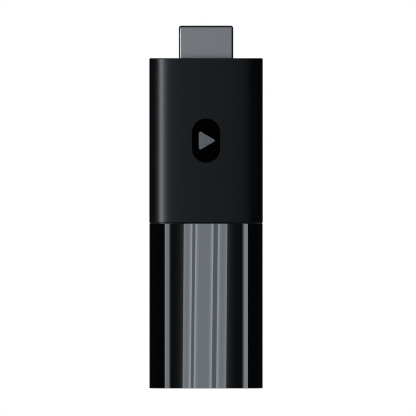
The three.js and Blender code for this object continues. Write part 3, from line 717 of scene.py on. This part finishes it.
def plug_steel():
    """Plated steel with faint draw lines along the plug."""
    finish = Finish("plug_steel", (0.48, 0.468, 0.466), 0.3, metallic=1.0)
    finish.toned(2.5, 0.02).worn(1.5, 0.29, 0.31, stretch=(1, 1, 6))
    return finish.bumped(finish.noise(0.12, stretch=(1, 1, 12)), 0.0003)


def board_green():
    """Solder mask over copper tracks: bands of noise stand up a little and are lighter."""
    finish = Finish("board_green", (0.012, 0.075, 0.035), 0.35)
    tracks = finish.ranged(finish.noise(1.4, detail=0.0, stretch=(1, 1, 5)), 0, 1, span=(0.49, 0.51))
    finish.patched(tracks, (0.02, 0.12, 0.055)).worn(1.0, 0.3, 0.4)
    return finish.bumped(tracks, 0.02)


def foam():
    """Dark open-cell foam."""
    finish = Finish("foam", (0.03, 0.03, 0.034), 0.9)
    finish.toned(0.5, 0.2)
    return finish.bumped(finish.cells(0.25), 0.05)


def lens_clear():
    """Clear plastic, slightly frosted."""
    finish = Finish("lens", (0.9, 0.92, 0.93), 0.12, ior=1.49)
    finish.set("Transmission Weight", 0.9)
    return finish.worn(0.8, 0.1, 0.16)


def plain(name, colour, roughness, metallic=0.0, grain=0.2, depth=0.002, spread=0.04, **how):
    """A finish with grain of this size and depth in mm, and wear and tone in patches some times larger."""
    finish = Finish(name, colour, roughness, metallic)
    finish.toned(8 * grain, 0.08).worn(5 * grain, roughness - spread, roughness + spread)
    return finish.bumped(finish.noise(grain, **how), depth)


def finishes():
    """The finish of each material slot in the record."""
    made = {
        "matt_black": matt_black(),
        "gloss_black": gloss_black(),
        "mark_black": plain("mark_black", (0.002, 0.002, 0.003), 0.3, depth=0.0003),
        "mark_grey": plain("mark_grey", (0.12, 0.128, 0.138), 0.45, depth=0.0005),
        "plug_steel": plug_steel(),
        "tinned": plain("tinned", (0.62, 0.62, 0.63), 0.22, metallic=1.0, depth=0.001),
        "insulator": plain("insulator", (0.012, 0.012, 0.014), 0.42),
        "gold": plain("gold", (0.75, 0.55, 0.22), 0.2, metallic=1.0, depth=0.0005),
        "board": board_green(),
        "chip": plain("chip", (0.015, 0.016, 0.018), 0.55, grain=0.1, depth=0.004),
        "ferrite": plain("ferrite", (0.045, 0.045, 0.05), 0.6, grain=0.15, depth=0.01),
        "ceramic": plain("ceramic", (0.28, 0.18, 0.09), 0.4, grain=0.1),
        "thermal_pad": plain("thermal_pad", (0.2, 0.29, 0.4), 0.7, grain=0.3, depth=0.02),
        "aluminium": plain("aluminium", (0.6, 0.61, 0.62), 0.3, metallic=1.0, stretch=(1, 1, 20)),
        "foam": foam(),
        "lens": lens_clear(),
        "led": plain("led", (0.85, 0.82, 0.6), 0.3, grain=0.3),
    }
    return {slot: finish.material for slot, finish in made.items()}


# Edge rounding of the frame's own nodes, in mm, and of the slots with finer edges.
EDGE = 0.05
FINE_EDGES = {"board": 0.02, "insulator": 0.03, "gold": 0.03, "tinned": 0.03}


def dress(pieces, made):
    """Gives each new piece its slot's finish, and each frame node in view its finish and round edges."""
    for piece, slot in pieces.items():
        piece.data.materials.clear()
        piece.data.materials.append(made[slot])
        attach(piece, "root")
    for part in frame["record"]["subparts"]:
        node, slot = NODES[part["node"]], part["material_slot"]
        if node.hide_render:
            continue
        node.data.materials.clear()
        node.data.materials.append(made[slot])
        weld = node.modifiers.new("weld", "WELD")
        weld.merge_threshold = WELD
        bevel = node.modifiers.new("round_edges", "BEVEL")
        bevel.width = FINE_EDGES.get(slot, EDGE) * MM
        bevel.segments = 2
        bevel.limit_method = "ANGLE"
        bevel.angle_limit = math.radians(40)
        node.modifiers.new("even_shading", "WEIGHTED_NORMAL")


# ---------------------------------------------------------------- studio

CARD_DISTANCE, CARD_STEP = 0.3, 0.01  # each card stands a little further out than the last
CARD_LOW, CARD_HIGH = -0.4, 0.5  # the cards also reach below the floor, which reflections do not show
DISTANCES = (CARD_DISTANCE + CARD_STEP * k for k in itertools.count())


def only_for(light, *pieces):
    """Only these pieces are lit by the light."""
    group = bpy.data.collections.new(light.name + "_receivers")
    for piece in pieces:
        group.objects.link(piece)
    light.light_linking.receiver_collection = group


def glow(name, colour):
    """Emission as strong as the mesh's own value says at each point. Light from behind passes through."""
    material = bpy.data.materials.new(name)
    material.use_nodes = True
    nodes, links = material.node_tree.nodes, material.node_tree.links
    nodes.clear()
    level = nodes.new("ShaderNodeAttribute")
    level.attribute_name = "level"
    emission = nodes.new("ShaderNodeEmission")
    emission.inputs["Color"].default_value = (*colour, 1.0)
    clear = nodes.new("ShaderNodeBsdfTransparent")
    both = nodes.new("ShaderNodeAddShader")
    output = nodes.new("ShaderNodeOutputMaterial")
    links.new(level.outputs["Fac"], emission.inputs["Strength"])
    links.new(emission.outputs["Emission"], both.inputs[0])
    links.new(clear.outputs["BSDF"], both.inputs[1])
    links.new(both.outputs["Shader"], output.inputs["Surface"])
    return material


def seen_at(x, distance):
    """Where a level ray from the front goes once the casing mirrors it at x: a point in plan, so far out."""
    front = OUTLINE[OUTLINE[:, 1] < 0]
    front = front[np.argsort(front[:, 0])]
    y, across, ahead = (float(np.interp(x, front[:, 0], front[:, k])) for k in (1, 2, 3))
    size = math.hypot(across, ahead)
    start, normal = Vector((x, y)), Vector((across, ahead)) / size
    ray = Vector((0, 1)) - 2 * normal.y * normal
    reach = -start.dot(ray) + math.sqrt(start.dot(ray) ** 2 + distance**2 - start.length_squared)
    return start + ray * reach


def glowing_sheet(name, vertices, faces, levels, material):
    """A mesh that glows with its own level at each vertex. The camera doesn't see it."""
    mesh = bpy.data.meshes.new(name)
    mesh.from_pydata(vertices, [], faces)
    mesh.attributes.new("level", "FLOAT", "POINT").data.foreach_set("value", levels)
    mesh.materials.append(material)
    sheet = bpy.data.objects.new(name, mesh)
    bpy.context.scene.collection.objects.link(sheet)
    sheet.visible_camera = sheet.visible_shadow = False
    return sheet


def card(name, columns, material, low=CARD_LOW, high=CARD_HIGH, head_share=1.0):
    """An upright glowing sheet. columns are (foot and head in plan, brightness) from one end to the other.

    The foot is the place at floor height and below, and the head the one at the seam's height and above.
    head_share is the brightness from floor height up, as a share of the lower end's.
    """
    vertices, levels = [], []
    for foot, head, level in columns:
        vertices += [(*foot, low), (*foot, min(0.0, high)), (*head, min(SEAM_Z, high)), (*head, high)]
        levels += [level] + [level * head_share] * 3
    faces = []
    for i in range(len(columns) - 1):
        for k in range(3):
            first = 4 * i + k
            faces.append((first, first + 4, first + 5, first + 1))
    return glowing_sheet(name, vertices, faces, levels, material)


def filled(profile, step=0.1):
    """The same brightness profile with points at least every step mm."""
    rows = []
    for (x0, v0), (x1, v1) in zip(profile, profile[1:]):
        count = max(1, math.ceil((x1 - x0) / step))
        rows += [(x0 + (x1 - x0) * k / count, v0 + (v1 - v0) * k / count) for k in range(count)]
    return rows + [profile[-1]]


def mirrored_card(name, profile, material, level=1.0, lean=0.0, low=CARD_LOW, high=CARD_HIGH):
    """A card that shows up in the casing's front with this brightness at each x, in mm.

    lean is how far, in mm, the profile's middle has moved over at the casing's lower end. Its sides
    move less.
    """
    columns = []
    distance = next(DISTANCES)
    for x, share in filled(profile):
        moved = x + lean * (1 - 0.5 * (x / 6) ** 2)
        foot, head = seen_at(moved * MM, distance), seen_at(x * MM, distance)
        columns.append((foot, head, share * level))
    return card(name, columns, material, low, high)


def arc_card(name, middle, spread, level, material, low=CARD_LOW, high=CARD_HIGH, head_share=1.0):
    """A card on an arc round the object. Azimuths are in degrees from the front, positive to the right."""
    columns = []
    distance, steps = next(DISTANCES), max(24, round(spread / 3))
    for k in range(steps + 1):
        a = math.radians(middle + spread * (k / steps - 0.5))
        point = Vector((math.sin(a), -math.cos(a))) * distance
        soft = min(1.0, 6 * min(k, steps - k) / steps)
        columns.append((point, point, level * soft))
    return card(name, columns, material, low, high, head_share)


def ceiling(material, height=0.6, half=0.09, level=0.45):
    """A glowing sheet overhead, for the top faces."""
    corners = [(-half, -half), (half, -half), (half, half), (-half, half)]
    vertices = [(x, y, height) for x, y in corners]
    sheet = glowing_sheet("ceiling", vertices, [(0, 1, 2, 3)], [level] * 4, material)
    sheet.visible_diffuse = False
    return sheet


def area(name, height, size, power, *receivers):
    """A round lamp straight above the stick, pointing down and out of sight in reflections."""
    data = bpy.data.lights.new(name, "AREA")
    data.shape = "DISK"
    data.size = size
    data.energy = power
    light = bpy.data.objects.new(name, data)
    bpy.context.scene.collection.objects.link(light)
    light.location = (0.0, 0.0, height)
    light.visible_glossy = False
    if receivers:
        only_for(light, *receivers)
    return light


# Brightness profiles are pairs of x on the casing, in mm, and a share of the card's own brightness.
# The softboxes that the polished cap's front shows: left side, right side, and each side's extra glow.
SOFTBOXES = [(-5.66, -3.46, 0.25, 1.0), (-2.68, 1.92, 0.95, 0.95), (3.05, 5.43, 0.85, 0.3)]
SOFTBOX_LEVEL = 2.13
GAP_SHARE = 0.57  # between the softboxes
SHOULDER = [(0.0, 0.13), (0.5, 0.1), (0.9, 0.05), (1.9, 0.02), (3.4, 0.012)]  # the light beyond them
GLOW_FADE = [(0.02, 1.0), (0.28, 0.9), (0.5, 0.35), (0.75, 0.15), (1.05, 0.0)]  # a side's glow, going in
SOFTBOX_LEAN = -0.55
# Narrow strips of light at both sides of the cap's front.
LEFT_STRIP = [(-10.5, 0.0), (-10.47, 1.3), (-10.1, 1.1), (-9.45, 1.05), (-9.2, 0.12), (-8.8, 0.0)]
RIGHT_STRIP = [(9.0, 0.0), (9.42, 0.2), (9.68, 1.15), (10.3, 1.3), (10.62, 1.3), (10.65, 0.0)]

# The matt front shows a soft panel ahead and a narrow key far to the left.
SOFT_FRONT = [(-11.0, 0.0), (-8.5, 1.0), (0.0, 0.97), (7.0, 0.8), (10.0, 0.5), (11.6, 0.0)]
KEY = [(-11.9, 0.0), (-11.7, 1.0), (-11.1, 1.0), (-10.8, 0.2), (-9.6, 0.06), (-8.5, 0.0)]


def softboxes():
    """The brightness profile of the row of softboxes, from left to right."""
    left, right = SOFTBOXES[0][0], SOFTBOXES[-1][1]
    profile = [(left - out, share) for out, share in SHOULDER[::-1]]
    for low, high, low_glow, high_glow in SOFTBOXES:
        if low > left:
            profile.append((low, GAP_SHARE))
        profile += [(low + into, 1 + low_glow * share) for into, share in GLOW_FADE]
        profile += [(high - into, 1 + high_glow * share) for into, share in GLOW_FADE[::-1]]
        if high < right:
            profile.append((high, GAP_SHARE))
    profile += [(right + out, share) for out, share in SHOULDER]
    return profile


FLOOR_SIZE = 9.0


def floor():
    """A plain pale floor. It isn't seen in reflections: cards below floor height stand in for it there."""
    bpy.ops.mesh.primitive_plane_add(size=FLOOR_SIZE)
    plane = bpy.context.object
    plane.name = "floor"
    finish = Finish("floor_pale", (0.82, 0.82, 0.82), 0.7)
    finish.toned(400.0, 0.01)
    plane.data.materials.append(finish.material)
    plane.visible_glossy = plane.visible_diffuse = False
    return plane


AMBIENT = 0.012  # light from all round


def sky():
    """White to the camera, and dim to everything else."""
    world = bpy.data.worlds.new("studio")
    bpy.context.scene.world = world
    world.use_nodes = True
    nodes, links = world.node_tree.nodes, world.node_tree.links
    background = nodes["Background"]
    path = nodes.new("ShaderNodeLightPath")
    mix = nodes.new("ShaderNodeMix")
    mix.inputs["A"].default_value = AMBIENT
    mix.inputs["B"].default_value = 1.0
    links.new(path.outputs["Is Camera Ray"], mix.inputs["Factor"])
    links.new(mix.outputs["Result"], background.inputs["Strength"])
    background.inputs["Color"].default_value = (1.0, 1.0, 1.0, 1.0)


VIEW_WIDTH = 0.1059  # metres across the picture
VIEW_MIDDLE = (0.0005, 0.04596)  # x and z of the picture's middle
VIEW_DISTANCE = 0.5


def camera():
    """Straight in front of the stick and level, without perspective."""
    data = bpy.data.cameras.new("camera")
    data.type = "ORTHO"
    data.ortho_scale = VIEW_WIDTH
    data.clip_start, data.clip_end = 0.01, 10.0
    eye = bpy.data.objects.new("camera", data)
    bpy.context.scene.collection.objects.link(eye)
    eye.location = (VIEW_MIDDLE[0], -VIEW_DISTANCE, VIEW_MIDDLE[1])
    eye.rotation_euler = (math.pi / 2, 0, 0)
    bpy.context.scene.camera = eye


def studio(front, rear, cap, triangle, plug, socket):
    """The floor, the surroundings, and a set of cards for each kind of finish.

    Every finish gets its own cards, so that each reflects what suits it and no card lights its neighbours.
    """
    plane = floor()
    sky()
    warm = glow("glow", (0.83, 0.915, 1.0))
    cool = glow("cool_glow", (0.74, 0.88, 1.0))

    only_for(mirrored_card("softboxes", softboxes(), warm, SOFTBOX_LEVEL, lean=SOFTBOX_LEAN), cap)
    only_for(mirrored_card("left_strip", LEFT_STRIP, warm, SOFTBOX_LEVEL), cap)
    only_for(mirrored_card("right_strip", RIGHT_STRIP, warm, SOFTBOX_LEVEL), cap)
    key = mirrored_card("key", KEY, warm, 3.15, low=-0.1, high=0.25)
    key.visible_diffuse = False
    only_for(key, front)
    only_for(mirrored_card("soft_front", SOFT_FRONT, cool, 0.165, low=-0.1, high=0.25), front)

    only_for(arc_card("plug_front", 2.0, 36.0, 0.39, warm, low=-0.2), plug)
    only_for(arc_card("plug_key", -26.0, 17.0, 5.2, warm, low=-0.12, high=0.14), plug)
    only_for(arc_card("mark_front", 0.0, 80.0, 1.4, warm), triangle)
    only_for(arc_card("back_panel", 180.0, 26.0, SOFTBOX_LEVEL, warm), cap)
    only_for(arc_card("back_key", 150.0, 30.0, 3.0, warm, high=0.12), rear)
    only_for(arc_card("back_fill", -160.0, 60.0, 0.75, warm, high=0.12), rear)
    only_for(arc_card("plug_back", 180.0, 70.0, 0.45, warm, low=-0.2, high=0.2), plug)
    only_for(arc_card("socket_side", 90.0, 80.0, 1.2, warm), *socket)

    floors = (("cap_floor", 0.5, [cap]), ("plug_floor", 0.85, [plug]), ("cover_floor", 0.25, [front, rear]))
    for name, level, pieces in floors:
        below = arc_card(name, 180.0, 360.0, level, warm, low=-0.25, high=-0.004, head_share=0.0)
        only_for(below, *pieces)
    only_for(ceiling(warm), front, rear)
    area("overhead", 1.6, 1.0, 8.0)
    area("floor_wash", 3.0, 12.0, 620.0, plane)


def build():
    """Makes the new pieces, gives everything its finish, and sets up the studio and camera."""
    front = cover("front_cover_shell", "front_cover", -1)
    rear = cover("rear_cover_shell", "rear_cover", 1)
    cap = polished_cap()
    plate, triangle = front_mark()
    plug, socket, rod, block_of_foam = plug_shell(), socket_shell(), lens(), cushion()
    slots = {
        front: "matt_black",
        rear: "matt_black",
        cap: "gloss_black",
        plate: "mark_black",
        triangle: "mark_grey",
        plug: "plug_steel",
        socket: "tinned",
        rod: "lens",
        block_of_foam: "foam",
    }
    dress(slots, finishes())
    studio(front, rear, cap, triangle, plug, [socket, NODES["power_socket_insulator"]])
    camera()


build()
scene = bpy.context.scene
scene.view_settings.view_transform = "Standard"
scene.cycles.use_denoising = True
scene.cycles.filter_width = 1.0
